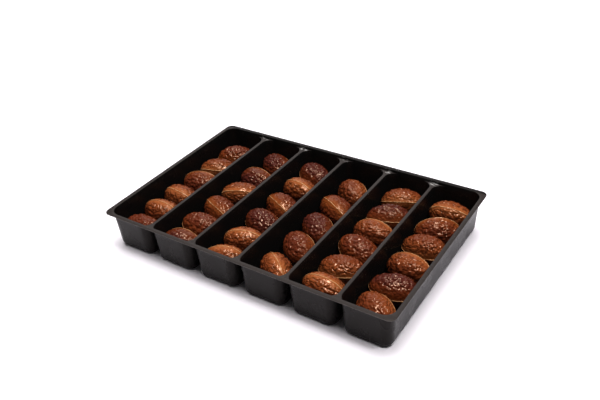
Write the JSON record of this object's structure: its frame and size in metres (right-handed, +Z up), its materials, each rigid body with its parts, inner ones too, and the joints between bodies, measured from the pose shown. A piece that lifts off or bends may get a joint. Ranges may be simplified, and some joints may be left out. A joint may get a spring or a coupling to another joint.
{
  "type": "chocolate egg tray",
  "caption": "Open black thermoformed tray with parallel drafted troughs, filled with crackled chocolate eggs that lift out one by one.",
  "frame": {"origin": "on the ground under the middle of the tray", "axes": "+X across the troughs, the tray's longest way; +Y along the troughs to the back end; +Z up"},
  "size_m": [0.28, 0.183, 0.035],
  "materials": {
    "tray_plastic": "black thermoformed sheet, satin",
    "golden_milk_chocolate": "glossy crackled chocolate, golden brown",
    "red_brown_chocolate": "glossy crackled chocolate, red brown",
    "dark_chocolate": "glossy crackled chocolate, purple brown"
  },
  "bodies": {
    "tray": {"tray": "tray_plastic"},
    "egg_1_1": {"egg_1_1": "red_brown_chocolate"},
    "egg_1_2": {"egg_1_2": "golden_milk_chocolate"},
    "egg_1_3": {"egg_1_3": "golden_milk_chocolate"},
    "egg_1_4": {"egg_1_4": "red_brown_chocolate"},
    "egg_1_5": {"egg_1_5": "golden_milk_chocolate"},
    "egg_1_6": {"egg_1_6": "red_brown_chocolate"},
    "egg_2_1": {"egg_2_1": "dark_chocolate"},
    "egg_2_2": {"egg_2_2": "red_brown_chocolate"},
    "egg_2_3": {"egg_2_3": "red_brown_chocolate"},
    "egg_2_4": {"egg_2_4": "golden_milk_chocolate"},
    "egg_2_5": {"egg_2_5": "dark_chocolate"},
    "egg_2_6": {"egg_2_6": "dark_chocolate"},
    "egg_3_1": {"egg_3_1": "golden_milk_chocolate"},
    "egg_3_2": {"egg_3_2": "golden_milk_chocolate"},
    "egg_3_3": {"egg_3_3": "dark_chocolate"},
    "egg_3_4": {"egg_3_4": "red_brown_chocolate"},
    "egg_3_5": {"egg_3_5": "golden_milk_chocolate"},
    "egg_3_6": {"egg_3_6": "dark_chocolate"},
    "egg_4_1": {"egg_4_1": "golden_milk_chocolate"},
    "egg_4_2": {"egg_4_2": "red_brown_chocolate"},
    "egg_4_3": {"egg_4_3": "dark_chocolate"},
    "egg_4_4": {"egg_4_4": "red_brown_chocolate"},
    "egg_4_5": {"egg_4_5": "golden_milk_chocolate"},
    "egg_5_1": {"egg_5_1": "golden_milk_chocolate"},
    "egg_5_2": {"egg_5_2": "golden_milk_chocolate"},
    "egg_5_3": {"egg_5_3": "red_brown_chocolate"},
    "egg_5_4": {"egg_5_4": "golden_milk_chocolate"},
    "egg_5_5": {"egg_5_5": "dark_chocolate"},
    "egg_5_6": {"egg_5_6": "golden_milk_chocolate"},
    "egg_6_1": {"egg_6_1": "golden_milk_chocolate"},
    "egg_6_2": {"egg_6_2": "dark_chocolate"},
    "egg_6_3": {"egg_6_3": "golden_milk_chocolate"},
    "egg_6_4": {"egg_6_4": "golden_milk_chocolate"},
    "egg_6_5": {"egg_6_5": "red_brown_chocolate"},
    "egg_6_6": {"egg_6_6": "golden_milk_chocolate"}
  },
  "joints": [
    {"name": "lift_1_1", "type": "slide", "parent": "tray", "child": "egg_1_1", "axis": [0, 0, 1], "range_m": [0, 0.045]},
    {"name": "lift_1_2", "type": "slide", "parent": "tray", "child": "egg_1_2", "axis": [0, 0, 1], "range_m": [0, 0.045]},
    {"name": "lift_1_3", "type": "slide", "parent": "tray", "child": "egg_1_3", "axis": [0, 0, 1], "range_m": [0, 0.045]},
    {"name": "lift_1_4", "type": "slide", "parent": "tray", "child": "egg_1_4", "axis": [0, 0, 1], "range_m": [0, 0.045]},
    {"name": "lift_1_5", "type": "slide", "parent": "tray", "child": "egg_1_5", "axis": [0, 0, 1], "range_m": [0, 0.045]},
    {"name": "lift_1_6", "type": "slide", "parent": "tray", "child": "egg_1_6", "axis": [0, 0, 1], "range_m": [0, 0.045]},
    {"name": "lift_2_1", "type": "slide", "parent": "tray", "child": "egg_2_1", "axis": [0, 0, 1], "range_m": [0, 0.045]},
    {"name": "lift_2_2", "type": "slide", "parent": "tray", "child": "egg_2_2", "axis": [0, 0, 1], "range_m": [0, 0.045]},
    {"name": "lift_2_3", "type": "slide", "parent": "tray", "child": "egg_2_3", "axis": [0, 0, 1], "range_m": [0, 0.045]},
    {"name": "lift_2_4", "type": "slide", "parent": "tray", "child": "egg_2_4", "axis": [0, 0, 1], "range_m": [0, 0.045]},
    {"name": "lift_2_5", "type": "slide", "parent": "tray", "child": "egg_2_5", "axis": [0, 0, 1], "range_m": [0, 0.045]},
    {"name": "lift_2_6", "type": "slide", "parent": "tray", "child": "egg_2_6", "axis": [0, 0, 1], "range_m": [0, 0.045]},
    {"name": "lift_3_1", "type": "slide", "parent": "tray", "child": "egg_3_1", "axis": [0, 0, 1], "range_m": [0, 0.045]},
    {"name": "lift_3_2", "type": "slide", "parent": "tray", "child": "egg_3_2", "axis": [0, 0, 1], "range_m": [0, 0.045]},
    {"name": "lift_3_3", "type": "slide", "parent": "tray", "child": "egg_3_3", "axis": [0, 0, 1], "range_m": [0, 0.045]},
    {"name": "lift_3_4", "type": "slide", "parent": "tray", "child": "egg_3_4", "axis": [0, 0, 1], "range_m": [0, 0.045]},
    {"name": "lift_3_5", "type": "slide", "parent": "tray", "child": "egg_3_5", "axis": [0, 0, 1], "range_m": [0, 0.045]},
    {"name": "lift_3_6", "type": "slide", "parent": "tray", "child": "egg_3_6", "axis": [0, 0, 1], "range_m": [0, 0.045]},
    {"name": "lift_4_1", "type": "slide", "parent": "tray", "child": "egg_4_1", "axis": [0, 0, 1], "range_m": [0, 0.045]},
    {"name": "lift_4_2", "type": "slide", "parent": "tray", "child": "egg_4_2", "axis": [0, 0, 1], "range_m": [0, 0.045]},
    {"name": "lift_4_3", "type": "slide", "parent": "tray", "child": "egg_4_3", "axis": [0, 0, 1], "range_m": [0, 0.045]},
    {"name": "lift_4_4", "type": "slide", "parent": "tray", "child": "egg_4_4", "axis": [0, 0, 1], "range_m": [0, 0.045]},
    {"name": "lift_4_5", "type": "slide", "parent": "tray", "child": "egg_4_5", "axis": [0, 0, 1], "range_m": [0, 0.045]},
    {"name": "lift_5_1", "type": "slide", "parent": "tray", "child": "egg_5_1", "axis": [0, 0, 1], "range_m": [0, 0.045]},
    {"name": "lift_5_2", "type": "slide", "parent": "tray", "child": "egg_5_2", "axis": [0, 0, 1], "range_m": [0, 0.045]},
    {"name": "lift_5_3", "type": "slide", "parent": "tray", "child": "egg_5_3", "axis": [0, 0, 1], "range_m": [0, 0.045]},
    {"name": "lift_5_4", "type": "slide", "parent": "tray", "child": "egg_5_4", "axis": [0, 0, 1], "range_m": [0, 0.045]},
    {"name": "lift_5_5", "type": "slide", "parent": "tray", "child": "egg_5_5", "axis": [0, 0, 1], "range_m": [0, 0.045]},
    {"name": "lift_5_6", "type": "slide", "parent": "tray", "child": "egg_5_6", "axis": [0, 0, 1], "range_m": [0, 0.045]},
    {"name": "lift_6_1", "type": "slide", "parent": "tray", "child": "egg_6_1", "axis": [0, 0, 1], "range_m": [0, 0.045]},
    {"name": "lift_6_2", "type": "slide", "parent": "tray", "child": "egg_6_2", "axis": [0, 0, 1], "range_m": [0, 0.045]},
    {"name": "lift_6_3", "type": "slide", "parent": "tray", "child": "egg_6_3", "axis": [0, 0, 1], "range_m": [0, 0.045]},
    {"name": "lift_6_4", "type": "slide", "parent": "tray", "child": "egg_6_4", "axis": [0, 0, 1], "range_m": [0, 0.045]},
    {"name": "lift_6_5", "type": "slide", "parent": "tray", "child": "egg_6_5", "axis": [0, 0, 1], "range_m": [0, 0.045]},
    {"name": "lift_6_6", "type": "slide", "parent": "tray", "child": "egg_6_6", "axis": [0, 0, 1], "range_m": [0, 0.045]}
  ]
}
